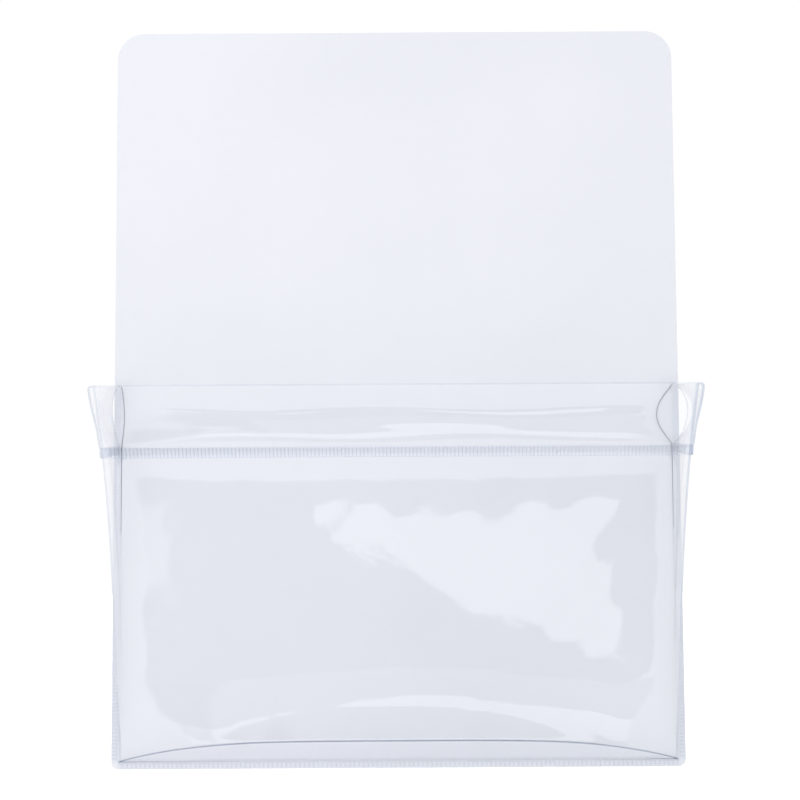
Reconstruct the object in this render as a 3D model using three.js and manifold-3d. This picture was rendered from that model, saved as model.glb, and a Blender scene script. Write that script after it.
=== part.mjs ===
import * as THREE from "three";
import { mergeVertices } from "three/addons/utils/BufferGeometryUtils.js";
import Module from "manifold-3d";

// Magnetic document pocket: one back sheet whose upper half is the flap, a film pocket folded from
// one piece and welded to it along three sides, and two magnetic strips on the rear.
// Millimetres, +Z up, the pocket opens towards -Y and +Z. The origin is the middle of the upper
// magnetic strip's holding face. Heights in the sizes below count from the sheet's bottom edge.

// Back sheet and flap
const sheetWidth = 226;
const sheetHeight = 296;
const sheetThickness = 0.6;
const flapCornerRadius = 11;
const footCornerRadius = 3;

// Pocket film: weld seams, side gussets and bottom fold
const filmThickness = 0.4;
const seamWidth = 2.8;
const pocketHeight = 150;
const mouthDrop = 3.5;
const mouthDepth = 40;
const mouthFlare = 4.5;
const foldInset = 1.2;
const foldRadius = 3;
const creaseRise = 8.5;
const creaseDepth = 9;
const creasePower = 4.2;
const creaseBlendHeight = 42;
const seamTabRadius = 4;

// Hem tube along the mouth, and the weld band that closes it
const hemHeight = 22;
const weldBandHeight = 3.8;
const tubeBulge = 3.6;
const tubeEndGape = 4.4;
const tubeEndGap = 0.8;

// Pressed ribs of the welds
const ribHeight = 0.25;
const ribPitch = 1.43;
const bottomRibPitch = 1.79;
const ribMargin = 0.3;

// Magnetic strips
const magnetLength = 200;
const magnetWidth = 20;
const magnetThickness = 1.5;
const upperMagnetHeight = 126;
const lowerMagnetHeight = 24;

// Places that follow from the sizes
const halfWidth = sheetWidth / 2;
const seamInner = halfWidth - seamWidth;
const foldWidthAtFoot = seamInner - foldInset;
const mouthHeight = pocketHeight - mouthDrop;
const weldBandTop = mouthHeight - hemHeight;
const weldBandFoot = weldBandTop - weldBandHeight;
const cornerDepth = 2 * filmThickness;
const weldBite = filmThickness / 4;

const wasm = await Module();
wasm.setup();

// Closed triangle list, as a solid for joining and cutting.
function solidOf(geometry) {
  const bare = new THREE.BufferGeometry();
  const flat = geometry.index ? geometry.toNonIndexed() : geometry;
  bare.setAttribute("position", flat.getAttribute("position").clone());
  const merged = mergeVertices(bare, 1e-4);
  const corners = merged.index.array;
  const kept = [];
  for (let i = 0; i < corners.length; i += 3) {
    const [a, b, c] = corners.slice(i, i + 3);
    if (a !== b && b !== c && c !== a) kept.push(a, b, c);
  }
  const mesh = new wasm.Mesh({
    numProp: 3,
    vertProperties: new Float32Array(merged.attributes.position.array),
    triVerts: new Uint32Array(kept),
  });
  return new wasm.Manifold(mesh);
}

function geometryOf(solid) {
  const mesh = solid.getMesh();
  const geometry = new THREE.BufferGeometry();
  geometry.setAttribute("position", new THREE.BufferAttribute(mesh.vertProperties, 3));
  geometry.setIndex(new THREE.BufferAttribute(mesh.triVerts, 1));
  geometry.computeVertexNormals();
  return geometry;
}

// Collects triangles and gives them back as one geometry.
class Skin {
  constructor() {
    this.points = [];
  }
  triangle(a, b, c) {
    this.points.push(...a, ...b, ...c);
  }
  quad(a, b, c, d) {
    this.triangle(a, b, c);
    this.triangle(a, c, d);
  }
  geometry() {
    const made = new THREE.BufferGeometry();
    made.setAttribute("position", new THREE.Float32BufferAttribute(this.points, 3));
    return made;
  }
}

const mix = (a, b, t) => a + (b - a) * t;

// Outline in the XZ plane, extruded from the height y0 to y1 along Y.
function plate(shape, y0, y1) {
  const geometry = new THREE.ExtrudeGeometry(shape, {
    depth: y1 - y0,
    bevelEnabled: false,
    curveSegments: 8,
  });
  geometry.rotateX(Math.PI / 2);
  geometry.translate(0, y1, 0);
  return geometry;
}

// Height of the front fold at level v, from the bottom crease at 0 to the mouth at 1.
const foldHeight = (v) => mix(seamWidth, mouthHeight, v);
const levelOf = (height) => (height - seamWidth) / (mouthHeight - seamWidth);
const blendLevel = levelOf(creaseBlendHeight);

// Share of the full bottom crease that is left at x, 0 at the corners.
const creaseShare = (x) => 1 - Math.min(1, Math.abs(x) / foldWidthAtFoot) ** creasePower;

// Where the front panel lies at level v and place x: its depth in front of the sheet and its height.
function frontPanel(x, v) {
  const straightDepth = (height) =>
    mix(creaseDepth, mouthDepth, (height - seamWidth) / (mouthHeight - seamWidth));
  if (v >= blendLevel) return { depth: straightDepth(foldHeight(v)), height: foldHeight(v) };
  const share = v / blendLevel;
  const rise = creaseRise * creaseShare(x);
  return {
    depth: mix(
      cornerDepth + (creaseDepth - cornerDepth) * creaseShare(x),
      straightDepth(creaseBlendHeight),
      share,
    ),
    height: mix(seamWidth + rise, creaseBlendHeight, share),
  };
}

const foldHalfWidth = (v) => foldWidthAtFoot + (mouthFlare + foldInset) * v ** 3.2;

// Stations along the film from the left seam round to the right seam. side runs -1 on the left
// gusset, 0 on the front, 1 on the right gusset; along runs 0 to 1 within each.
function stationsAlong(gussetSteps, foldSteps, frontSteps) {
  const list = [];
  for (let i = 0; i < gussetSteps; i++) list.push({ part: "gusset", side: -1, t: i / gussetSteps });
  for (let i = 0; i < foldSteps; i++) list.push({ part: "fold", side: -1, t: i / foldSteps });
  for (let i = 0; i <= frontSteps; i++) list.push({ part: "front", side: 0, t: i / frontSteps });
  const mirrored = list.filter((s) => s.side < 0).reverse();
  for (const s of mirrored) list.push({ part: s.part, side: 1, t: s.t });
  return list;
}

// Point of the film's outer face at a station and level, before any thickness.
function facePoint(station, v) {
  const fold = foldHalfWidth(v);
  const atFold = frontPanel(fold, v);
  const radius = Math.min(foldRadius, 0.45 * atFold.depth);
  const gussetTop = mix(seamWidth, pocketHeight, v);
  const gussetLength = Math.hypot(fold - seamInner, atFold.depth);
  const gussetEnd = 1 - radius / gussetLength;
  const frontX = (t) => (fold - radius) * Math.sin((t - 0.5) * Math.PI);
  if (station.part === "front") {
    const x = frontX(station.t);
    const at = frontPanel(x, v);
    return new THREE.Vector3(x, -at.depth, at.height);
  }
  if (station.part === "gusset") {
    const reach = station.t * gussetEnd;
    return new THREE.Vector3(
      station.side * mix(seamInner, fold, reach),
      -atFold.depth * reach,
      mix(gussetTop, atFold.height, reach),
    );
  }
  const start = facePoint({ part: "gusset", side: station.side, t: 1 }, v);
  const corner = new THREE.Vector3(station.side * fold, -atFold.depth, atFold.height);
  const end = facePoint({ part: "front", side: 0, t: station.side < 0 ? 0 : 1 }, v);
  return new THREE.QuadraticBezierCurve3(start, corner, end).getPoint(station.t);
}

// The same point moved outwards by a distance, level with the ground.
function offsetPoint(station, v, out) {
  const p = facePoint(station, v);
  const normal = outward(station, v);
  return [p.x + normal.x * out, Math.min(p.y + normal.y * out, 0), p.z];
}

function outward(station, v) {
  if (station.part === "front") return new THREE.Vector2(0, -1);
  if (station.part === "gusset" && station.t === 0) return new THREE.Vector2(station.side, 0);
  const step = 0.02;
  const before = facePoint({ ...station, t: Math.max(0, station.t - step) }, v);
  const after = facePoint({ ...station, t: Math.min(1, station.t + step) }, v);
  const along = new THREE.Vector2(after.x - before.x, after.y - before.y).normalize();
  return new THREE.Vector2(-station.side * along.y, station.side * along.x);
}

// How far the hem's outer layer stands off the panel: full between the folds, pinched at them, and
// gaping at the tube's two rear ends. s runs from the weld band up to the mouth.
function tubeRoom(station, s) {
  const lens = Math.sin(Math.PI * Math.min(1, Math.max(0, s))) ** 0.6;
  const pinch = 0.3;
  if (station.part === "front") return lens * mix(pinch, tubeBulge, Math.sin(Math.PI * station.t) ** 0.5);
  if (station.part === "gusset") return lens * mix(tubeEndGape, pinch, station.t);
  return lens * pinch;
}

const hemShare = (v) => (foldHeight(v) - weldBandTop) / hemHeight;
const hemLevel = (s) => levelOf(weldBandTop + s * hemHeight);

// Solid between the plane of the sheet's front face and the film's outer face.
function pocketBody(stations, levels, outAt, lift, backY) {
  const skin = new Skin();
  const row = (v) => {
    const points = stations.map((s) => offsetPoint(s, v, outAt(s, v)));
    for (const p of points) p[2] += lift * (1 - Math.min(1, v / blendLevel));
    if (backY > 0) {
      const first = points[0];
      const last = points[points.length - 1];
      points.unshift([first[0], backY, first[2]]);
      points.push([last[0], backY, last[2]]);
    }
    return points;
  };
  const rows = levels.map(row);
  const foot = rows[0].map((p) => [p[0], backY, seamWidth + lift]);
  const last = rows[rows.length - 1];
  const roof = last.map((p) => [0.9 * p[0], backY, pocketHeight * 1.1]);
  const all = [foot, ...rows, roof];
  for (let j = 0; j + 1 < all.length; j++)
    for (let i = 0; i + 1 < foot.length; i++)
      skin.quad(all[j][i], all[j][i + 1], all[j + 1][i + 1], all[j + 1][i]);
  const middle = [0, backY, pocketHeight / 2];
  const rim = [
    ...foot,
    ...all.slice(1).map((r) => r[r.length - 1]),
    ...roof.slice(0, -1).reverse(),
    ...all.slice(1, -1).reverse().map((r) => r[0]),
  ];
  for (let i = 0; i < rim.length; i++) skin.triangle(middle, rim[(i + 1) % rim.length], rim[i]);
  return solidOf(skin.geometry());
}

// Room inside the hem tube, as a lens swept round the pocket.
function tubeHollow(stations, steps) {
  const skin = new Skin();
  const foot = 0.02;
  const head = 1 - filmThickness / hemHeight;
  const ring = (station, backwards) => {
    const points = [];
    for (let k = 0; k <= steps; k++) points.push([mix(foot, head, k / steps), 0]);
    for (let k = steps - 1; k > 0; k--) points.push([mix(foot, head, k / steps), 1]);
    return points.map(([s, full]) => {
      const inside = (s - foot) / (head - foot);
      const p = offsetPoint(station, hemLevel(s), full * tubeRoom(station, inside));
      return [p[0], p[1] + backwards, p[2]];
    });
  };
  const rings = stations.map((s) => ring(s, 0));
  rings.unshift(ring(stations[0], 1));
  rings.push(ring(stations[stations.length - 1], 1));
  const size = rings[0].length;
  for (let i = 0; i + 1 < rings.length; i++)
    for (let k = 0; k < size; k++) {
      const next = (k + 1) % size;
      skin.quad(rings[i][k], rings[i][next], rings[i + 1][next], rings[i + 1][k]);
    }
  const cap = (points, flip) => {
    for (let k = 1; k + 1 < size; k++)
      if (flip) skin.triangle(points[0], points[k], points[k + 1]);
      else skin.triangle(points[0], points[k + 1], points[k]);
  };
  cap(rings[0], false);
  cap(rings[rings.length - 1], true);
  return solidOf(skin.geometry());
}

// Bar with pressed ribs towards -Y: its ridged outline lies in XY, runs along X from 0 to length and
// is extruded upwards by width.
function ribbedBar(length, width, pitch) {
  const count = Math.max(1, Math.round(length / pitch));
  const outline = new THREE.Shape();
  outline.moveTo(0, -filmThickness + weldBite);
  outline.lineTo(length, -filmThickness + weldBite);
  for (let i = count; i > 0; i--) {
    outline.lineTo((length * i) / count, -filmThickness);
    outline.lineTo((length * (i - 0.5)) / count, -filmThickness - ribHeight);
  }
  outline.lineTo(0, -filmThickness);
  return new THREE.ExtrudeGeometry(outline, { depth: width, bevelEnabled: false });
}

// Flat weld flange on the sheet along the left side, the foot and the right side, with a rounded
// ear inside each top corner.
function seamFlange() {
  const inner = seamInner - filmThickness;
  const shape = new THREE.Shape();
  const foot = footCornerRadius;
  const earTop = pocketHeight + seamTabRadius;
  const earFoot = pocketHeight - seamTabRadius / 2;
  shape.moveTo(-halfWidth + foot, 0);
  shape.lineTo(halfWidth - foot, 0);
  shape.absarc(halfWidth - foot, foot, foot, -Math.PI / 2, 0, false);
  shape.lineTo(halfWidth, earTop);
  shape.lineTo(inner, earTop);
  shape.absarc(inner, pocketHeight, seamTabRadius, Math.PI / 2, Math.PI, false);
  shape.lineTo(inner - seamTabRadius, earFoot);
  shape.lineTo(inner, earFoot);
  shape.lineTo(inner, seamWidth + filmThickness);
  shape.lineTo(-inner, seamWidth + filmThickness);
  shape.lineTo(-inner, earFoot);
  shape.lineTo(-inner + seamTabRadius, earFoot);
  shape.absarc(-inner, pocketHeight, seamTabRadius, 0, Math.PI / 2, false);
  shape.lineTo(-halfWidth, earTop);
  shape.lineTo(-halfWidth, foot);
  shape.absarc(-halfWidth + foot, foot, foot, Math.PI, 1.5 * Math.PI, false);
  return solidOf(plate(shape, -filmThickness, 0));
}

// Pressed ribs on the flange: across the two side seams and across the foot seam.
function seamRibs() {
  const width = seamWidth - 2 * ribMargin;
  const footStart = footCornerRadius;
  const footBar = ribbedBar(sheetWidth - 2 * footStart, width, bottomRibPitch);
  footBar.translate(-halfWidth + footStart, 0, ribMargin);
  const bars = [solidOf(footBar)];
  const sideStart = seamWidth + ribMargin;
  for (const side of [-1, 1]) {
    const bar = ribbedBar(pocketHeight - sideStart, width, ribPitch);
    bar.rotateY(-Math.PI / 2);
    bar.translate(side * (halfWidth - seamWidth / 2) + width / 2, 0, sideStart);
    bars.push(solidOf(bar));
  }
  return bars;
}

// Ribbed weld band round the gussets and the front, which closes the hem tube below.
function weldBand(stations) {
  const skin = new Skin();
  const v0 = levelOf(weldBandFoot);
  const v1 = levelOf(weldBandTop);
  const rows = stations.map((s, i) => {
    const crest = filmThickness + (i % 2 ? ribHeight : 0);
    const low = offsetPoint(s, v0, -weldBite);
    const lowCrest = offsetPoint(s, v0, crest);
    const highCrest = offsetPoint(s, v1, crest);
    const high = offsetPoint(s, v1, -weldBite);
    return [low, lowCrest, highCrest, high];
  });
  for (let i = 0; i + 1 < rows.length; i++)
    for (let k = 0; k < 4; k++) {
      const next = (k + 1) % 4;
      skin.quad(rows[i][k], rows[i + 1][k], rows[i + 1][next], rows[i][next]);
    }
  const first = rows[0];
  const last = rows[rows.length - 1];
  skin.quad(first[0], first[1], first[2], first[3]);
  skin.quad(last[3], last[2], last[1], last[0]);
  return solidOf(skin.geometry());
}

// Everything above the slanted plane of the mouth, which falls towards the front.
function aboveMouth() {
  const size = 2 * sheetWidth;
  const block = new THREE.BoxGeometry(size, size, size);
  block.translate(0, 0, size / 2);
  block.rotateX(Math.atan2(mouthDrop, mouthDepth));
  block.translate(0, 0, pocketHeight);
  return solidOf(block);
}

// Slot that parts the tube's rear end from the seam flange behind it.
function tubeEndSlot(side) {
  const width = tubeEndGape + 2 * filmThickness + mouthFlare;
  const height = hemHeight + seamTabRadius;
  const slot = new THREE.BoxGeometry(width, tubeEndGap, height);
  slot.translate(
    side * (seamInner + width / 2),
    -filmThickness - ribHeight - tubeEndGap / 2,
    weldBandTop * (pocketHeight / mouthHeight) + height / 2,
  );
  return solidOf(slot);
}

function pocketFilm() {
  const outerStations = stationsAlong(5, 4, 22);
  const innerStations = stationsAlong(3, 4, 22);
  const lowLevels = [0, 0.06, 0.14, 0.24].map((v) => v * (blendLevel / 0.3));
  const middleLevels = [0.3, 0.45, 0.6, 0.72].map((v) => mix(blendLevel, levelOf(weldBandFoot), (v - 0.3) / 0.43));
  const tubeShares = [0.04, 0.12, 0.3, 0.5, 0.7, 0.88, 0.97];
  const outerLevels = [
    ...lowLevels,
    ...middleLevels,
    levelOf(weldBandFoot),
    levelOf(weldBandTop),
    ...tubeShares.map(hemLevel),
    1,
    1.05,
  ];
  const outerOut = (s, v) => {
    if (v < levelOf(weldBandFoot)) return 0;
    if (v <= hemLevel(0)) return v < levelOf(weldBandFoot) + 1e-6 ? 0 : filmThickness - weldBite;
    return filmThickness + tubeRoom(s, hemShare(v));
  };
  const innerLevels = [...lowLevels, ...middleLevels, levelOf(weldBandFoot), hemLevel(0.5), 1, 1.05];
  const body = pocketBody(outerStations, outerLevels, outerOut, 0, 0);
  const room = pocketBody(innerStations, innerLevels, () => -filmThickness, filmThickness, 1);
  const bandLength = 2 * mouthDepth + 2 * seamInner;
  const ribsAlong = (length) => 2 * Math.round(length / ribPitch);
  const bandStations = stationsAlong(ribsAlong(mouthDepth - foldRadius), 8, ribsAlong(bandLength - 2 * mouthDepth));
  let film = body.subtract(room).subtract(tubeHollow(outerStations, 7));
  film = film.add(weldBand(bandStations)).subtract(aboveMouth());
  for (const side of [-1, 1]) film = film.subtract(tubeEndSlot(side));
  film = film.add(seamFlange());
  for (const bar of seamRibs()) film = film.add(bar);
  return geometryOf(film);
}

function backSheet() {
  const top = flapCornerRadius;
  const foot = footCornerRadius;
  const shape = new THREE.Shape();
  shape.moveTo(-halfWidth + foot, 0);
  shape.lineTo(halfWidth - foot, 0);
  shape.absarc(halfWidth - foot, foot, foot, -Math.PI / 2, 0, false);
  shape.lineTo(halfWidth, sheetHeight - top);
  shape.absarc(halfWidth - top, sheetHeight - top, top, 0, Math.PI / 2, false);
  shape.lineTo(-halfWidth + top, sheetHeight);
  shape.absarc(-halfWidth + top, sheetHeight - top, top, Math.PI / 2, Math.PI, false);
  shape.lineTo(-halfWidth, foot);
  shape.absarc(-halfWidth + foot, foot, foot, Math.PI, 1.5 * Math.PI, false);
  return plate(shape, 0, sheetThickness);
}

function magnetStrip() {
  const strip = new THREE.BoxGeometry(magnetLength, magnetThickness, magnetWidth);
  strip.translate(0, sheetThickness + magnetThickness / 2, 0);
  return strip;
}

const sheetFinish = new THREE.MeshStandardMaterial({ color: 0xe9ecf4, roughness: 0.42, metalness: 0 });
const filmFinish = new THREE.MeshStandardMaterial({
  color: 0xf2f5fc,
  roughness: 0.08,
  metalness: 0,
  transparent: true,
  opacity: 0.25,
});
const magnetFinish = new THREE.MeshStandardMaterial({ color: 0x2e2b29, roughness: 0.75, metalness: 0 });

const pocket = new THREE.Group();
pocket.position.set(0, -(sheetThickness + magnetThickness), -upperMagnetHeight);

function addPiece(name, geometry, material, height = 0) {
  const piece = new THREE.Mesh(geometry, material);
  piece.name = name;
  piece.position.z = height;
  pocket.add(piece);
}

addPiece("back_sheet", backSheet(), sheetFinish);
addPiece("pocket_film", pocketFilm(), filmFinish);
addPiece("magnet_strip_upper", magnetStrip(), magnetFinish, upperMagnetHeight);
addPiece("magnet_strip_lower", magnetStrip(), magnetFinish, lowerMagnetHeight);

export default pocket;
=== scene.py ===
import math

import bpy
import numpy as np
from mathutils import Matrix, Vector


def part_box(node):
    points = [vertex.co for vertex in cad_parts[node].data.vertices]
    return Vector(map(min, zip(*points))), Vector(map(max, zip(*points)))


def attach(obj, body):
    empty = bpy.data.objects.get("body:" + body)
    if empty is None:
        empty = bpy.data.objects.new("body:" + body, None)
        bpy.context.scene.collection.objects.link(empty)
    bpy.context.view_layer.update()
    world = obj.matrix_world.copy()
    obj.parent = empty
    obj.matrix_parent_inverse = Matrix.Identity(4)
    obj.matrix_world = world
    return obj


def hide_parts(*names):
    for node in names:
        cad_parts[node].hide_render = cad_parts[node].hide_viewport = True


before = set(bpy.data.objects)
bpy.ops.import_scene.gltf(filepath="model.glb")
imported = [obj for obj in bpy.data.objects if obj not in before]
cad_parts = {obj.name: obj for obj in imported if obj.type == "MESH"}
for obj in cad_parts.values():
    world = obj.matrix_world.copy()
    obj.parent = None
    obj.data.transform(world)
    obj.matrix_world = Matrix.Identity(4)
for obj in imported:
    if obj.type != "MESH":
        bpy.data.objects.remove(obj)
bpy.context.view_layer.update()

# All sizes below are millimetres in the sheet's own frame: x from its middle, y from its front face
# (the pocket is towards -y) and z from its bottom edge. place() turns them into the model's metres.
MM = 0.001

SHEET_LOW, SHEET_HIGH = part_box("back_sheet")
SHEET_WIDTH = (SHEET_HIGH[0] - SHEET_LOW[0]) / MM
SHEET_FRONT = SHEET_LOW[1]
SHEET_FOOT = SHEET_LOW[2]
HALF_WIDTH = SHEET_WIDTH / 2

# Film pocket
FILM = 0.4
SEAM = 2.8
POCKET_HEIGHT = 150.0
MOUTH_HEIGHT = 146.5
MOUTH_DEPTH = 40.0
MOUTH_FLARE = 4.5
FOLD_INSET = 1.2
FOLD_RADIUS = 3.0
CREASE_RISE = 8.5
CREASE_DEPTH = 9.0
CREASE_POWER = 4.2
CREASE_BLEND = 42.0
CREASE_BEND = 0.5
CREASE_ROUNDING = 1.1
TAB_RADIUS = 4.0
FOOT_RADIUS = 3.0

# Slackness of the film
PILLOW = 1.4
PILLOW_EDGE = 8.0
PILLOW_BELOW_BAND = 4.5
HOLLOW_LEFT = (-84.0, -50.0)
HOLLOW_RIGHT = (72.0, 94.0)
HOLLOW_TOP = 27.0
HOLLOW_DROP = 20.0
HOLLOW_FADE = 16.0

# Hem tube and welds
HEM_HEIGHT = 22.0
BAND_HEIGHT = 3.8
BAND_TOP = MOUTH_HEIGHT - HEM_HEIGHT
BAND_FOOT = BAND_TOP - BAND_HEIGHT
MOUTH_ROLL = 0.9
TUBE_BULGE = 4.2
TUBE_END_GAP = 1.2
TUBE_PINCH = 0.35
TUBE_GAPE_LEFT = 2.2
TUBE_GAPE_RIGHT = 5.0
TUBE_SAG_LEFT = 1.0
TUBE_SAG_RIGHT = 6.0
RIB_HEIGHT = 0.25
RIB_PITCH = 1.43
FOOT_RIB_PITCH = 1.79
RIB_MARGIN = 0.3

SEAM_INNER = HALF_WIDTH - SEAM
FOLD_AT_FOOT = SEAM_INNER - FOLD_INSET
CORNER_DEPTH = 2 * FILM

# Camera, from the sheet's outline in the photograph
PHOTO_SIDE = 800
CAMERA_DISTANCE = 650.0
CAMERA_ELEVATION = -4.98
CAMERA_ROLL = -0.34
CAMERA_TARGET = (1.4, 0.0, 145.18)
PIXELS_PER_MM = 2.4949


def place(point):
    """A point of the sheet's own frame, in metres of the model's frame."""
    return (point[0] * MM, SHEET_FRONT + point[1] * MM, SHEET_FOOT + point[2] * MM)


def mix(a, b, t):
    return a + (b - a) * t


def smooth(low, high, value):
    t = min(1.0, max(0.0, (value - low) / (high - low)))
    return t * t * (3 - 2 * t)


# The film's form: the same surface as the solid's, with the slackness of real film


def fold_height(v):
    return mix(SEAM, MOUTH_HEIGHT, v)


def level_of(height):
    return (height - SEAM) / (MOUTH_HEIGHT - SEAM)


BLEND_LEVEL = level_of(CREASE_BLEND)


def crease_share(x):
    return 1 - min(1.0, abs(x) / FOLD_AT_FOOT) ** CREASE_POWER


def front_panel(x, v):
    """Depth and height of the front panel at level v and place x."""
    depth_at = lambda height: mix(CREASE_DEPTH, MOUTH_DEPTH, level_of(height))
    if v >= BLEND_LEVEL:
        return depth_at(fold_height(v)), fold_height(v)
    share = v / BLEND_LEVEL
    left = crease_share(x)
    low_height = SEAM + CREASE_RISE * left
    bend_height = mix(low_height, CREASE_BLEND, CREASE_BEND)
    low = np.array([CORNER_DEPTH + (CREASE_DEPTH - CORNER_DEPTH) * left, low_height])
    bend = np.array([depth_at(bend_height), bend_height])
    high = np.array([depth_at(CREASE_BLEND), CREASE_BLEND])
    return (1 - share) ** 2 * low + 2 * share * (1 - share) * bend + share**2 * high


def fold_half_width(v):
    return FOLD_AT_FOOT + (MOUTH_FLARE + FOLD_INSET) * max(0.0, v) ** 3.2


def face_point(part, side, t, v):
    """Point of the film's outer face, before slackness and thickness."""
    fold = fold_half_width(v)
    depth, height = front_panel(fold, v)
    radius = min(FOLD_RADIUS, 0.45 * depth)
    if part == "front":
        x = (fold - radius) * math.sin((t - 0.5) * math.pi)
        at = front_panel(x, v)
        return np.array([x, -at[0], at[1]])
    length = math.hypot(fold - SEAM_INNER, depth)
    end = 1 - radius / length
    if part == "gusset":
        reach = t * end
        top = mix(SEAM, POCKET_HEIGHT, v)
        return np.array(
            [side * mix(SEAM_INNER, fold, reach), -depth * reach, mix(top, height, reach)]
        )
    start = face_point("gusset", side, 1.0, v)
    corner = np.array([side * fold, -depth, height])
    finish = face_point("front", 0, 0.0 if side < 0 else 1.0, v)
    return (1 - t) ** 2 * start + 2 * t * (1 - t) * corner + t * t * finish


def outward(part, side, t, v):
    """Unit vector out of the pocket, level with the ground."""
    if part == "front":
        return np.array([0.0, -1.0, 0.0])
    if part == "gusset" and t == 0:
        return np.array([float(side), 0.0, 0.0])
    step = 0.02
    before = face_point(part, side, max(0.0, t - step), v)
    after = face_point(part, side, min(1.0, t + step), v)
    along = after - before
    along /= math.hypot(along[0], along[1])
    return np.array([-side * along[1], side * along[0], 0.0])


def stations(gusset_steps, fold_steps, front_steps):
    """Places along the film from the left seam round to the right seam."""
    left = [("gusset", -1, i / gusset_steps) for i in range(gusset_steps)]
    left += [("fold", -1, i / fold_steps) for i in range(fold_steps)]
    middle = [("front", 0, i / front_steps) for i in range(front_steps + 1)]
    right = [(part, 1, t) for part, side, t in reversed(left)]
    return left + middle + right


def slack(part, x, z):
    """How far the real film stands off the ideal surface, outwards: a shallow pillow with waves."""
    if part != "front":
        return 0.0
    side = max(0.0, FOLD_AT_FOOT - FOLD_RADIUS - abs(x))
    below_band = max(0.0, BAND_FOOT - z)
    above_crease = z - max(SEAM, HOLLOW_TOP - (x / HOLLOW_DROP) ** 2)
    pillow = 1 - math.exp(-side / PILLOW_EDGE)
    pillow *= 1 - math.exp(-below_band / PILLOW_BELOW_BAND)
    hollow = smooth(*HOLLOW_LEFT, x) * (1 - smooth(*HOLLOW_RIGHT, x))
    fall = math.exp(-max(0.0, above_crease) / HOLLOW_FADE)
    fall -= max(-0.5, min(0.0, above_crease) / HOLLOW_FADE)
    pillow *= 1 - hollow * fall
    wave = 0.22 * math.sin(x / 31 + z / 57 + 0.6) + 0.09 * math.sin(x / 17 - z / 29 + 2.0)
    wave += 0.022 * math.sin(x / 5.2 + z / 7.1 + 1.1) + 0.016 * math.sin(x / 3.1 - z / 3.9 + 0.3)
    return pillow * (PILLOW + wave)


def hem_share(z):
    return (z - BAND_TOP) / HEM_HEIGHT


def tube_room(part, side, t, s):
    """How far the hem's outer layer stands off the panel."""
    lens = math.sin(math.pi * min(1.0, max(0.0, s))) ** 0.7
    if part == "front":
        along = math.sin(math.pi * t) ** 1.2
        ripple = 1 + 0.16 * math.sin(9 * t + 0.4) + 0.09 * math.sin(23 * t + 2 * s)
        return lens * mix(TUBE_PINCH, TUBE_BULGE * ripple, along)
    if part == "gusset":
        gape = TUBE_GAPE_RIGHT if side > 0 else TUBE_GAPE_LEFT
        return lens * mix(gape, TUBE_PINCH, t**0.8)
    return lens * TUBE_PINCH


def inner_sag(part, side, t, s):
    """How far the hem's inner layer bows into the mouth at the tube's rear end."""
    if part != "gusset":
        return 0.0
    sag = TUBE_SAG_RIGHT if side > 0 else TUBE_SAG_LEFT
    return sag * math.sin(math.pi * min(1.0, max(0.0, s))) * (1 - t) ** 1.5


def film_row(places, v, out, z_shift=0.0, gap=0.0):
    """One row of points round the pocket, a distance out(part, side, t, z) off the surface."""
    row = []
    for part, side, t in places:
        p = face_point(part, side, t, v)
        normal = outward(part, side, t, v)
        p = p + normal * out(part, side, t, p[0], fold_height(v))
        p[1] = min(p[1], -gap) if part == "gusset" else p[1]
        p[2] += z_shift
        row.append(p)
    return row


# Places of the film's materials on its mesh: plain film, its folds, the layer behind the hem, film
# under a fold (its darker tint is painted shade), and cut edges with the bottom crease (a painted
# shade line along the crease)
CLEAR, FOLD, FAINT, UNDER_SHADE, CUT_AND_CREASE_SHADE = range(5)


def grid_mesh(name, rows, kind_of):
    """Open surface through rows of points; kind_of(row, column) is the material of a face."""
    count = len(rows[0])
    points = [place(p) for row in rows for p in row]
    faces = []
    for j in range(len(rows) - 1):
        for i in range(count - 1):
            a = j * count + i
            faces.append((a, a + 1, a + count + 1, a + count))
    mesh = bpy.data.meshes.new(name)
    mesh.from_pydata(points, [], faces)
    for _ in range(CUT_AND_CREASE_SHADE + 1):
        mesh.materials.append(None)
    for number, face in enumerate(mesh.polygons):
        face.use_smooth = True
        face.material_index = kind_of(number // (count - 1), number % (count - 1))
    piece = bpy.data.objects.new(name, mesh)
    bpy.context.scene.collection.objects.link(piece)
    return piece


def thicken(piece, thickness):
    """Gives an open surface its thickness, inwards, as a closed solid."""
    solid = piece.modifiers.new("thickness", "SOLIDIFY")
    solid.thickness = thickness * MM
    solid.offset = -1
    solid.use_even_offset = False
    solid.material_offset_rim = CUT_AND_CREASE_SHADE
    apply_modifiers(piece)


def apply_modifiers(piece):
    graph = bpy.context.evaluated_depsgraph_get()
    made = bpy.data.meshes.new_from_object(piece.evaluated_get(graph))
    piece.modifiers.clear()
    old = piece.data
    piece.data = made
    made.name = old.name


def closed_mesh(name, points, faces, smooth_faces=False):
    mesh = bpy.data.meshes.new(name)
    mesh.from_pydata([place(p) for p in points], [], faces)
    mesh.validate()
    for face in mesh.polygons:
        face.use_smooth = smooth_faces
    mesh.materials.append(None)
    piece = bpy.data.objects.new(name, mesh)
    bpy.context.scene.collection.objects.link(piece)
    return piece


# Materials


def new_material(name):
    material = bpy.data.materials.new(name)
    material.use_nodes = True
    tree = material.node_tree
    tree.nodes.clear()
    return material, tree


def add(tree, kind, **values):
    """A node, with its inputs set by name or linked to another node's socket."""
    node = tree.nodes.new(kind)
    for key, value in values.items():
        name = key.replace("_", " ")
        if name in node.inputs:
            target = node.inputs[name]
            if isinstance(value, bpy.types.NodeSocket):
                tree.links.new(value, target)
            else:
                target.default_value = value
        else:
            setattr(node, key, value)
    return node


def math_node(tree, operation, a, b=None):
    node = tree.nodes.new("ShaderNodeMath")
    node.operation = operation
    for i, value in enumerate((a, b)):
        if value is None:
            continue
        if isinstance(value, bpy.types.NodeSocket):
            tree.links.new(value, node.inputs[i])
        else:
            node.inputs[i].default_value = value
    return node.outputs[0]


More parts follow.
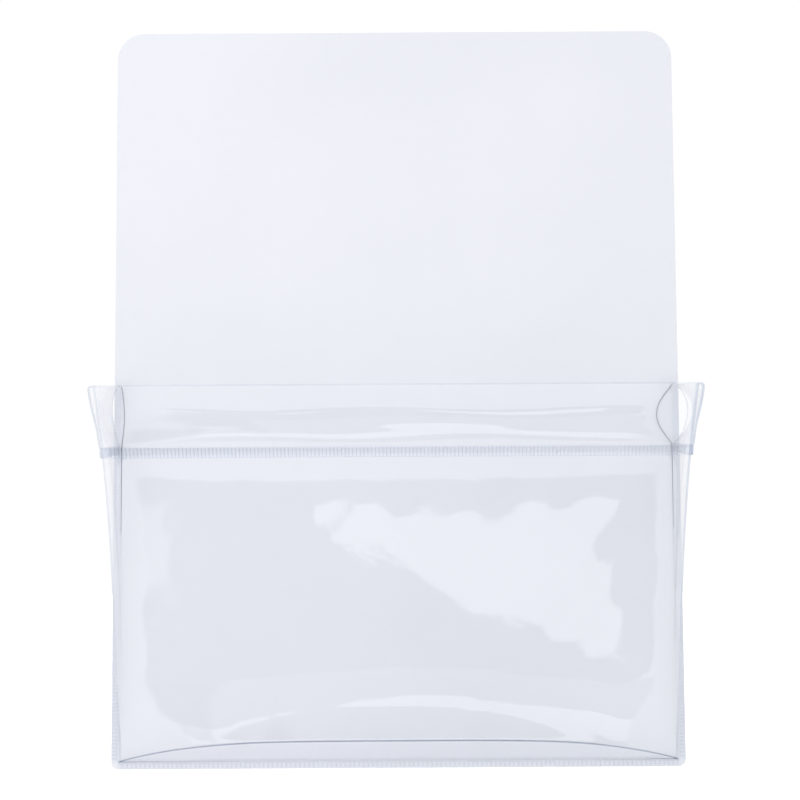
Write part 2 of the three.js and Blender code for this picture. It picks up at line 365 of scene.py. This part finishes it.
def noise(tree, scale, detail=2.0, coordinates=None):
    where = coordinates or tree.nodes.new("ShaderNodeTexCoord").outputs["Object"]
    node = tree.nodes.new("ShaderNodeTexNoise")
    node.inputs["Scale"].default_value = scale
    node.inputs["Detail"].default_value = detail
    tree.links.new(where, node.inputs["Vector"])
    return node.outputs[0]


def ramp(tree, value, low, high, out_low, out_high):
    node = tree.nodes.new("ShaderNodeMapRange")
    tree.links.new(value, node.inputs["Value"])
    for name, number in (
        ("From Min", low),
        ("From Max", high),
        ("To Min", out_low),
        ("To Max", out_high),
    ):
        node.inputs[name].default_value = number
    return node.outputs[0]


def bump_node(tree, height, strength, distance):
    node = tree.nodes.new("ShaderNodeBump")
    node.inputs["Strength"].default_value = strength
    node.inputs["Distance"].default_value = distance
    tree.links.new(height, node.inputs["Height"])
    return node.outputs["Normal"]


CLEAR_TINT = (0.995, 0.997, 1.0)
CLEAR_HAZE = 0.006
CLEAR_ROUGHNESS = 0.035
WELD_ROUGHNESS = 0.1
FILM_IOR = 1.45

# Grain: scale, strength and distance of its bumps
CLEAR_GRAIN = (55.0, 0.05, 0.001)
WELD_GRAIN = (260.0, 0.1, 0.0003)


def clear_film(
    name,
    tint,
    haze=CLEAR_HAZE,
    roughness=CLEAR_ROUGHNESS,
    grain=CLEAR_GRAIN,
    dark=None,
    ior=FILM_IOR,
):
    """Film that is seen through, mirrors at its faces and has a little haze.

    dark is the tint of its darker places, which is painted shade, and the function that says where
    they are.
    """
    material, tree = new_material(name)
    output = tree.nodes.new("ShaderNodeOutputMaterial")
    shape = tree.nodes.new("ShaderNodeNewGeometry")
    index = ramp(tree, shape.outputs["Backfacing"], 0, 1, ior, 1 / ior)
    ripple = noise(tree, grain[0], 3.0)
    normal = bump_node(tree, ripple, grain[1], grain[2])
    fresnel = tree.nodes.new("ShaderNodeFresnel")
    tree.links.new(index, fresnel.inputs["IOR"])
    tree.links.new(normal, fresnel.inputs["Normal"])
    through = tree.nodes.new("ShaderNodeBsdfTransparent")
    through.inputs["Color"].default_value = (*tint, 1)
    if dark:
        dark_tint, dark_where = dark
        painted_shade_tint = tree.nodes.new("ShaderNodeMix")
        painted_shade_tint.data_type = "RGBA"
        painted_shade_tint.inputs["A"].default_value = (*tint, 1)
        painted_shade_tint.inputs["B"].default_value = (*dark_tint, 1)
        tree.links.new(dark_where(tree), painted_shade_tint.inputs["Factor"])
        tree.links.new(painted_shade_tint.outputs["Result"], through.inputs["Color"])
    mirror = add(tree, "ShaderNodeBsdfGlossy", Color=(1, 1, 1, 1), Roughness=roughness)
    tree.links.new(normal, mirror.inputs["Normal"])
    veil = add(tree, "ShaderNodeBsdfDiffuse", Color=(0.84, 0.87, 0.94, 1))
    cloudy = tree.nodes.new("ShaderNodeMixShader")
    patchy = ramp(tree, noise(tree, 14.0, 3.0), 0.3, 0.7, 0.8 * haze, 1.2 * haze)
    tree.links.new(patchy, cloudy.inputs[0])
    tree.links.new(through.outputs[0], cloudy.inputs[1])
    tree.links.new(veil.outputs[0], cloudy.inputs[2])
    whole = tree.nodes.new("ShaderNodeMixShader")
    tree.links.new(fresnel.outputs[0], whole.inputs[0])
    tree.links.new(cloudy.outputs[0], whole.inputs[1])
    tree.links.new(mirror.outputs[0], whole.inputs[2])
    tree.links.new(whole.outputs[0], output.inputs["Surface"])
    return material


def sheet_material():
    material, tree = new_material("milky_sheet")
    output = tree.nodes.new("ShaderNodeOutputMaterial")
    principled = tree.nodes.new("ShaderNodeBsdfPrincipled")
    place_on_sheet = tree.nodes.new("ShaderNodeSeparateXYZ")
    tree.links.new(tree.nodes.new("ShaderNodeTexCoord").outputs["Object"], place_on_sheet.inputs[0])
    # Sheet tone: cloudy at random, plus painted light that makes it lighter towards the left and
    # darker towards the right.
    painted_light_leftward = ramp(tree, place_on_sheet.outputs[0], -0.1, 0.11, 0.22, -0.22)
    cloud_and_painted_light = math_node(tree, "ADD", noise(tree, 9.0, 2.0), painted_light_leftward)
    colours = tree.nodes.new("ShaderNodeMix")
    colours.data_type = "RGBA"
    colours.inputs["A"].default_value = (0.655, 0.672, 0.716, 1)
    colours.inputs["B"].default_value = (0.695, 0.706, 0.755, 1)
    tree.links.new(ramp(tree, cloud_and_painted_light, 0.3, 0.7, 0, 1), colours.inputs["Factor"])
    cells = tree.nodes.new("ShaderNodeTexVoronoi")
    cells.inputs["Scale"].default_value = 26.0
    tree.links.new(tree.nodes.new("ShaderNodeTexCoord").outputs["Object"], cells.inputs["Vector"])
    chosen = tree.nodes.new("ShaderNodeSeparateColor")
    tree.links.new(cells.outputs["Color"], chosen.inputs[0])
    speck = math_node(
        tree,
        "MULTIPLY",
        ramp(tree, cells.outputs["Distance"], 0.02, 0.06, 1, 0),
        ramp(tree, chosen.outputs[0], 0.45, 0.5, 0, 0.35),
    )
    specked = tree.nodes.new("ShaderNodeMix")
    specked.data_type = "RGBA"
    specked.inputs["B"].default_value = (0.55, 0.58, 0.63, 1)
    tree.links.new(colours.outputs["Result"], specked.inputs["A"])
    tree.links.new(speck, specked.inputs["Factor"])
    tree.links.new(specked.outputs["Result"], principled.inputs["Base Color"])
    satin = ramp(tree, noise(tree, 60.0, 4.0), 0.3, 0.7, 0.36, 0.46)
    tree.links.new(satin, principled.inputs["Roughness"])
    pores = bump_node(tree, noise(tree, 900.0, 3.0), 0.12, 0.0002)
    tree.links.new(pores, principled.inputs["Normal"])
    principled.inputs["IOR"].default_value = 1.5
    tree.links.new(principled.outputs[0], output.inputs["Surface"])
    return material


def magnet_material():
    material, tree = new_material("magnet_rubber")
    output = tree.nodes.new("ShaderNodeOutputMaterial")
    principled = tree.nodes.new("ShaderNodeBsdfPrincipled")
    spots = noise(tree, 420.0, 4.0)
    colours = tree.nodes.new("ShaderNodeMix")
    colours.data_type = "RGBA"
    colours.inputs["A"].default_value = (0.022, 0.02, 0.019, 1)
    colours.inputs["B"].default_value = (0.05, 0.046, 0.043, 1)
    tree.links.new(ramp(tree, spots, 0.3, 0.7, 0, 1), colours.inputs["Factor"])
    tree.links.new(colours.outputs["Result"], principled.inputs["Base Color"])
    dull = ramp(tree, noise(tree, 90.0, 4.0), 0.3, 0.7, 0.55, 0.75)
    tree.links.new(dull, principled.inputs["Roughness"])
    tree.links.new(bump_node(tree, spots, 0.35, 0.0002), principled.inputs["Normal"])
    tree.links.new(principled.outputs[0], output.inputs["Surface"])
    return material


def turned_away(tree):
    """1 where the film is seen nearly edge on: there the fold film's darker tint is partly the longer
    path through the film and partly painted shade along its folds and the rolled mouth.
    """
    facing = tree.nodes.new("ShaderNodeLayerWeight")
    facing.inputs["Blend"].default_value = 0.5
    return ramp(tree, facing.outputs["Facing"], 0.4, 1.0, 0, 1)


def painted_rib_flank_shade(tree):
    """1 on one flank of each pressed rib, where the weld films paint shade with a darker tint."""
    slope = tree.nodes.new("ShaderNodeSeparateXYZ")
    tree.links.new(tree.nodes.new("ShaderNodeNewGeometry").outputs["True Normal"], slope.inputs[0])
    both = math_node(tree, "ADD", slope.outputs[0], slope.outputs[2])
    facing_front = ramp(tree, math_node(tree, "ABSOLUTE", slope.outputs[1]), 0.4, 0.6, 0, 1)
    return math_node(tree, "MULTIPLY", ramp(tree, both, 0.1, 0.3, 0, 1), facing_front)


film_clear = clear_film("clear_film", CLEAR_TINT)
# Fold film: its darker tint where seen edge on is partly the longer path through the film and partly
# painted shade along the folds and the rolled mouth.
film_fold = clear_film("film_fold", CLEAR_TINT, dark=((0.68, 0.73, 0.82), turned_away))
film_faint = clear_film("film_behind_hem", (0.999, 0.999, 1.0), haze=0.002, ior=1.2)
# Film under the bottom fold and along the foot of the hem tube: its darker tint is painted shade.
film_painted_shade_under = clear_film("film_under_fold_painted_shade", (0.975, 0.979, 0.99))
# Cut edges seen through the film's thickness; the same deep tint on the bottom crease row is a painted
# shade line.
film_cut_and_crease_shade = clear_film("film_cut_edge_and_crease_shade", (0.58, 0.61, 0.68), haze=0.01, roughness=0.08)
# Seam film: its darker tint on one flank of each pressed rib is painted shade.
seam_clear = clear_film(
    "seam_film",
    (0.998, 0.999, 1.0),
    roughness=WELD_ROUGHNESS,
    grain=WELD_GRAIN,
    dark=((0.88, 0.9, 0.95), painted_rib_flank_shade),
    ior=1.22,
)
# Band film: its darker tint on one flank of each pressed rib is painted shade.
band_clear = clear_film(
    "band_film",
    (0.99, 0.992, 0.998),
    roughness=WELD_ROUGHNESS,
    grain=WELD_GRAIN,
    dark=((0.78, 0.82, 0.9), painted_rib_flank_shade),
    ior=1.28,
)
sheet_satin = sheet_material()
magnet_rubber = magnet_material()


def finish_piece(piece, materials, replaced=None):
    for number, material in enumerate(materials):
        piece.data.materials[number] = material
    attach(piece, "root")
    if replaced:
        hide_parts(replaced)


# Pieces


FOOT_ROWS = 5
CREASE_ROWS = 5
PANEL_ROWS = 70
ROLL_ROWS = 5
HEM_ROWS = 25
WELD_ROWS = 3
FOOT_SHARE = 0.88


def film_body():
    """Bottom fold, front panel and gussets, over the mouth and down again as the hem's outer layer."""
    places = stations(14, 8, 110)
    rows = []

    def panel_out(part, side, t, x, z):
        s = hem_share(z)
        return slack(part, x, z) - (inner_sag(part, side, t, s) if s > 0 else 0)

    crease = film_row(places, 0.0, panel_out)
    foot = [np.array([p[0], -FILM, SEAM]) for p in crease]
    start = 0.35 * BLEND_LEVEL * CREASE_ROUNDING / 9
    near = film_row(places, start, panel_out)
    for k in range(FOOT_ROWS):
        rows.append([mix(a, b, k / FOOT_ROWS * FOOT_SHARE) for a, b in zip(foot, crease)])
    low = [mix(a, b, FOOT_SHARE) for a, b in zip(foot, crease)]
    for k in range(CREASE_ROWS):
        t = k / CREASE_ROWS
        rows.append(
            [(1 - t) ** 2 * a + 2 * t * (1 - t) * b + t * t * c for a, b, c in zip(low, crease, near)]
        )
    for k in range(PANEL_ROWS):
        rows.append(film_row(places, mix(start, 1.0, k / PANEL_ROWS), panel_out))
    rows.append(film_row(places, 1.0, panel_out))
    for k in range(1, ROLL_ROWS + 1):
        turn = math.pi * k / (ROLL_ROWS + 1)
        rise = MOUTH_ROLL * math.sin(turn)
        reach = MOUTH_ROLL * (1 - math.cos(turn))
        rows.append(film_row(places, 1.0, lambda *_: reach, rise, TUBE_END_GAP if k > 2 else 0))
    for k in range(HEM_ROWS):
        s = 1 - k / (HEM_ROWS - 1)

        def outer(part, side, t, x, z):
            near_mouth = 2 * MOUTH_ROLL * smooth(0.0, 1.0, s)
            return max(near_mouth, FILM) + tube_room(part, side, t, s)

        rows.append(film_row(places, level_of(BAND_TOP + s * HEM_HEIGHT), outer, 0, TUBE_END_GAP))
    for k in range(1, WELD_ROWS + 1):
        v = level_of(BAND_TOP - BAND_HEIGHT * k / WELD_ROWS)
        rows.append(film_row(places, v, lambda *_: FILM + 0.02, 0, TUBE_END_GAP))

    crease_line = FOOT_ROWS + CREASE_ROWS // 2
    panel_start = FOOT_ROWS + CREASE_ROWS
    behind_hem = panel_start + int(PANEL_ROWS * level_of(BAND_TOP))
    roll_start = panel_start + PANEL_ROWS + 1
    hem_start = roll_start + ROLL_ROWS
    hem_foot = hem_start + HEM_ROWS - 1

    def kind_of(row, column):
        part = places[column][0]
        # The bottom crease row gets the deep cut-edge tint as a painted shade line.
        if row == crease_line:
            return CUT_AND_CREASE_SHADE
        # The film under the bottom fold and the row along the hem tube's foot get painted shade.
        if row < FOOT_ROWS or row == hem_foot:
            return UNDER_SHADE
        if part == "fold" or part == "front" and roll_start <= row <= hem_start:
            return FOLD
        return FAINT if behind_hem <= row < roll_start else CLEAR

    piece = grid_mesh("film_pocket", rows, kind_of)
    thicken(piece, FILM)
    return piece


RIB_PROFILE = (0.0, 0.75, 1.0, 0.75)


def weld_band():
    """Ribbed weld round the gussets and the front, below the hem."""
    gusset_steps = 4 * round((MOUTH_DEPTH - FOLD_RADIUS) / RIB_PITCH)
    front_length = 2 * (fold_half_width(level_of(BAND_TOP)) - FOLD_RADIUS)
    front_steps = 4 * round(front_length / RIB_PITCH)
    places = stations(gusset_steps, 12, front_steps)
    places = [
        (p, s, 0.5 + math.asin(2 * t - 1) / math.pi if p == "front" else t) for p, s, t in places
    ]
    v0 = level_of(BAND_FOOT)
    v1 = level_of(BAND_TOP)
    edge = 0.12 * (v1 - v0)
    points = []
    base = FILM + 0.03

    def ring(level, profile):
        out = []
        for i, (part, side, t) in enumerate(places):
            p = face_point(part, side, t, level)
            height = base + (RIB_HEIGHT * RIB_PROFILE[i % 4] + 0.04 if profile else -0.15)
            out.append(p + outward(part, side, t, level) * height)
        return out

    rows = [ring(v0, False), ring(v0, True), ring(v0 + edge, True), ring(v1 - edge, True)]
    rows += [ring(v1, True), ring(v1, False)]
    count = len(places)
    for row in rows:
        points += row
    faces = []
    size = len(rows)
    for j in range(size):
        following = (j + 1) % size
        for i in range(count - 1):
            a = j * count + i
            b = following * count + i
            faces.append((a, b, b + 1, a + 1))
    faces.append(tuple(j * count for j in reversed(range(size))))
    faces.append(tuple(j * count + count - 1 for j in range(size)))
    return closed_mesh("weld_band", points, faces)


def arc(cx, cz, radius, start, finish, steps):
    return [
        (
            cx + radius * math.cos(math.radians(mix(start, finish, i / steps))),
            cz + radius * math.sin(math.radians(mix(start, finish, i / steps))),
        )
        for i in range(steps + 1)
    ]


def seam_flange():
    """Flat weld flange round the left side, the foot and the right side, with its top ears."""
    inner = SEAM_INNER - FILM
    top = POCKET_HEIGHT + TAB_RADIUS
    ear_foot = POCKET_HEIGHT - TAB_RADIUS / 2
    half = arc(HALF_WIDTH - FOOT_RADIUS, FOOT_RADIUS, FOOT_RADIUS, -90, 0, 8)
    half += [(HALF_WIDTH, top)]
    half += arc(inner, POCKET_HEIGHT, TAB_RADIUS, 90, 180, 8)
    half += [(inner - TAB_RADIUS, ear_foot), (inner, ear_foot), (inner, SEAM + FILM)]
    outline = half + [(-x, z) for x, z in reversed(half)]
    count = len(outline)
    points = [(x, -0.03, z) for x, z in outline] + [(x, -FILM, z) for x, z in outline]
    faces = [tuple(reversed(range(count, 2 * count))), tuple(range(count))]
    for i in range(count):
        j = (i + 1) % count
        faces.append((i, i + count, j + count, j))
    return closed_mesh("seam_flange", points, faces)


def ribbed_bar(name, start, finish, across, width, pitch, upright):
    """Bar of pressed ribs on the flange, from start to finish, as wide as width."""
    count = 4 * max(1, round((finish - start) / pitch))
    base = -FILM + 0.1
    points = []
    for i in range(count + 1):
        along = mix(start, finish, i / count)
        crest = -FILM - RIB_HEIGHT * RIB_PROFILE[i % 4] - 0.02
        shoulder = -FILM - 0.02
        left_edge = ((-0.5, base), (-0.5, shoulder), (-0.38, crest))
        right_edge = ((0.38, crest), (0.5, shoulder), (0.5, base))
        for share, y in left_edge + right_edge:
            side = across + share * width
            points.append((side, y, along) if upright else (along, y, side))
    faces = []
    size = 6
    for i in range(count):
        for k in range(size):
            a = i * size + k
            b = i * size + (k + 1) % size
            face = (a, b, b + size, a + size)
            faces.append(tuple(reversed(face)) if upright else face)
    first = tuple(range(size))
    last = tuple(count * size + k for k in range(size))
    faces.append(first if upright else tuple(reversed(first)))
    faces.append(tuple(reversed(last)) if upright else last)
    return closed_mesh(name, points, faces)


film = film_body()
finish_piece(film, (film_clear, film_fold, film_faint, film_painted_shade_under, film_cut_and_crease_shade), "pocket_film")
band = weld_band()
finish_piece(band, (band_clear,))
flange = seam_flange()
finish_piece(flange, (seam_clear,))
rib_width = SEAM - 2 * RIB_MARGIN
foot_ribs = ribbed_bar(
    "seam_ribs_foot", -HALF_WIDTH + FOOT_RADIUS, HALF_WIDTH - FOOT_RADIUS, SEAM / 2, rib_width,
    FOOT_RIB_PITCH, False,
)
finish_piece(foot_ribs, (seam_clear,))
for label, side in (("left", -1), ("right", 1)):
    ribs = ribbed_bar(
        f"seam_ribs_{label}", SEAM + RIB_MARGIN, POCKET_HEIGHT, side * (HALF_WIDTH - SEAM / 2),
        rib_width, RIB_PITCH, True,
    )
    finish_piece(ribs, (seam_clear,))

for name in ("back_sheet", "magnet_strip_upper", "magnet_strip_lower"):
    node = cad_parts[name]
    node.data.materials.clear()
    node.data.materials.append(sheet_satin if name == "back_sheet" else magnet_rubber)


# Floor, light and camera


FLOOR_HALF = 6.0
FLOOR_DROP = 0.12


def floor():
    size = FLOOR_HALF
    z = SHEET_FOOT - FLOOR_DROP
    mesh = bpy.data.meshes.new("floor")
    corners = [(-size, -size, z), (size, -size, z), (size, size, z), (-size, size, z)]
    mesh.from_pydata(corners, [], [(0, 1, 2, 3)])
    piece = bpy.data.objects.new("floor", mesh)
    bpy.context.scene.collection.objects.link(piece)
    material, tree = new_material("floor_paint")
    output = tree.nodes.new("ShaderNodeOutputMaterial")
    principled = tree.nodes.new("ShaderNodeBsdfPrincipled")
    principled.inputs["Base Color"].default_value = (0.9, 0.9, 0.9, 1)
    principled.inputs["Emission Color"].default_value = (1, 1, 1, 1)
    principled.inputs["Emission Strength"].default_value = 0.3
    tree.links.new(ramp(tree, noise(tree, 3.0), 0.3, 0.7, 0.85, 0.95), principled.inputs["Roughness"])
    tree.links.new(principled.outputs[0], output.inputs["Surface"])
    piece.data.materials.append(material)
    piece.visible_glossy = False


FRONT_LIGHT = 1.18
BACK_LIGHT = 1.02
SOFTBOX_LIGHT = 1.3

# What the film mirrors, by direction: sideways and upwards for each unit towards the front.
# A window is its middle, its half width and its soft edge.
DARK_ACROSS = (0.0, 0.29)
DARK_UPWARD = (-0.51, 0.21)
DARK_CORNER = 0.12
DARK_EDGE = 0.012
DARK_DEPTH = 0.8
SIDE_ACROSS = (-0.21, 0.11, 0.02)
SIDE_UPWARD = (-0.95, 0.33, 0.02)
LOW_ACROSS = (0.0, 0.34, 0.03)
LOW_UPWARD = ((-0.925, 0.215, 0.012), (-2.0, 0.42, 0.03))
LOW_DEPTH = 0.55
BOX_ACROSS = (0.062, 0.098, 0.004)
BOX_UPWARD = (-0.482, 0.067, 0.004)
BOX_SLOPE = 0.653
BOX_CUT = (-0.481, -0.473)
SLOT_ACROSS = (0.0, 0.3, 0.03)
SLOT_UPWARD = (-1.35, 0.21, 0.015)
SLOT_SHARE = 0.4
SMEAR_ACROSS = (-0.25, 0.045, 0.012)
SMEAR_UPWARD = (-0.455, 0.04, 0.015)
SMEAR_SHARE = 0.6


def studio():
    """White room with darker patches behind the camera and a soft box in it."""
    world = bpy.data.worlds.new("studio")
    bpy.context.scene.world = world
    world.use_nodes = True
    tree = world.node_tree
    tree.nodes.clear()
    towards = tree.nodes.new("ShaderNodeTexCoord").outputs["Generated"]
    parts = tree.nodes.new("ShaderNodeSeparateXYZ")
    tree.links.new(towards, parts.inputs[0])
    x, y, z = parts.outputs

    towards_front = math_node(tree, "MULTIPLY", y, -1.0)
    across = math_node(tree, "DIVIDE", x, towards_front)
    upward = math_node(tree, "DIVIDE", z, towards_front)

    def window(value, middle, half, soft):
        away = math_node(tree, "ABSOLUTE", math_node(tree, "SUBTRACT", value, middle))
        node = tree.nodes.new("ShaderNodeMapRange")
        node.interpolation_type = "SMOOTHSTEP"
        tree.links.new(away, node.inputs["Value"])
        node.inputs["From Min"].default_value = half - soft
        node.inputs["From Max"].default_value = half + soft
        node.inputs["To Min"].default_value = 1.0
        node.inputs["To Max"].default_value = 0.0
        return node.outputs[0]

    def product(*values):
        result = values[0]
        for value in values[1:]:
            result = math_node(tree, "MULTIPLY", result, value)
        return result

    in_front = ramp(tree, y, -0.2, -0.1, 1.0, 0.0)
    room = ramp(tree, y, -0.15, 0.15, FRONT_LIGHT, BACK_LIGHT)

    def pane(across_window, upward_window):
        return product(in_front, window(across, *across_window), window(upward, *upward_window))

    def beyond(value, middle, half):
        away = math_node(tree, "ABSOLUTE", math_node(tree, "SUBTRACT", value, middle))
        past = math_node(tree, "SUBTRACT", away, half - DARK_CORNER)
        return math_node(tree, "MAXIMUM", past, 0.0)

    out_across = beyond(across, *DARK_ACROSS)
    out_upward = beyond(upward, *DARK_UPWARD)
    squares = math_node(
        tree, "ADD", product(out_across, out_across), product(out_upward, out_upward)
    )
    reach = math_node(tree, "SQRT", squares)
    inside = ramp(tree, reach, DARK_CORNER - DARK_EDGE, DARK_CORNER + DARK_EDGE, 1.0, 0.0)
    dark = product(in_front, inside)
    dark = math_node(tree, "MAXIMUM", dark, pane(SIDE_ACROSS, SIDE_UPWARD))

    bands = math_node(tree, "ADD", *(window(upward, *band_window) for band_window in LOW_UPWARD))
    low = product(in_front, bands, window(across, *LOW_ACROSS))
    slanted = math_node(tree, "ADD", upward, math_node(tree, "MULTIPLY", across, BOX_SLOPE))
    box = product(pane(BOX_ACROSS, BOX_UPWARD), ramp(tree, slanted, *BOX_CUT, 0.0, 1.0))
    slot = product(pane(SLOT_ACROSS, SLOT_UPWARD), SLOT_SHARE)
    smear = product(pane(SMEAR_ACROSS, SMEAR_UPWARD), SMEAR_SHARE)

    shaded = product(
        room,
        math_node(tree, "SUBTRACT", 1.0, product(dark, DARK_DEPTH)),
        math_node(tree, "SUBTRACT", 1.0, product(low, LOW_DEPTH)),
    )
    lamps = math_node(tree, "ADD", box, math_node(tree, "ADD", slot, smear))
    light = math_node(tree, "ADD", shaded, product(lamps, SOFTBOX_LIGHT))
    background = tree.nodes.new("ShaderNodeBackground")
    background.inputs["Color"].default_value = (1, 1, 1, 1)
    tree.links.new(light, background.inputs["Strength"])
    output = tree.nodes.new("ShaderNodeOutputWorld")
    tree.links.new(background.outputs[0], output.inputs["Surface"])


def camera():
    elevation = math.radians(CAMERA_ELEVATION)
    roll = math.radians(CAMERA_ROLL)
    target = Vector(place(CAMERA_TARGET))
    back = Vector((0, -math.cos(elevation), math.sin(elevation)))
    eye = target + back * CAMERA_DISTANCE * MM
    right = Vector((1, 0, 0))
    up = back.cross(right)
    turned_right = right * math.cos(roll) + up * math.sin(roll)
    turned_up = up * math.cos(roll) - right * math.sin(roll)
    data = bpy.data.cameras.new("camera")
    data.sensor_width = 36.0
    data.sensor_fit = "HORIZONTAL"
    data.lens = 36.0 * PIXELS_PER_MM * CAMERA_DISTANCE / PHOTO_SIDE
    data.clip_start = 0.01
    data.clip_end = 50.0
    lens = bpy.data.objects.new("camera", data)
    bpy.context.scene.collection.objects.link(lens)
    turn = Matrix((turned_right, turned_up, back)).transposed().to_4x4()
    lens.matrix_world = Matrix.Translation(eye) @ turn
    bpy.context.scene.camera = lens


KEY_PLACE = (-0.7, -0.9, 0.8)
KEY_SIZE = (0.7, 0.5)
KEY_POWER = 0.6


def key_light():
    data = bpy.data.lights.new("key", "AREA")
    data.shape = "RECTANGLE"
    data.size = KEY_SIZE[0]
    data.size_y = KEY_SIZE[1]
    data.energy = KEY_POWER
    lamp = bpy.data.objects.new("key", data)
    bpy.context.scene.collection.objects.link(lamp)
    lamp.location = KEY_PLACE
    aim = Vector((0, 0, 0)) - lamp.location
    lamp.rotation_euler = aim.to_track_quat("-Z", "Y").to_euler()


def light_paths():
    """Enough bounces for several layers of film, and plain colours."""
    settings = bpy.context.scene.cycles
    settings.max_bounces = 6
    settings.diffuse_bounces = 2
    settings.glossy_bounces = 4
    settings.transparent_max_bounces = 24
    view = bpy.context.scene.view_settings
    view.view_transform = "Standard"
    view.look = "None"


floor()
studio()
key_light()
camera()
light_paths()
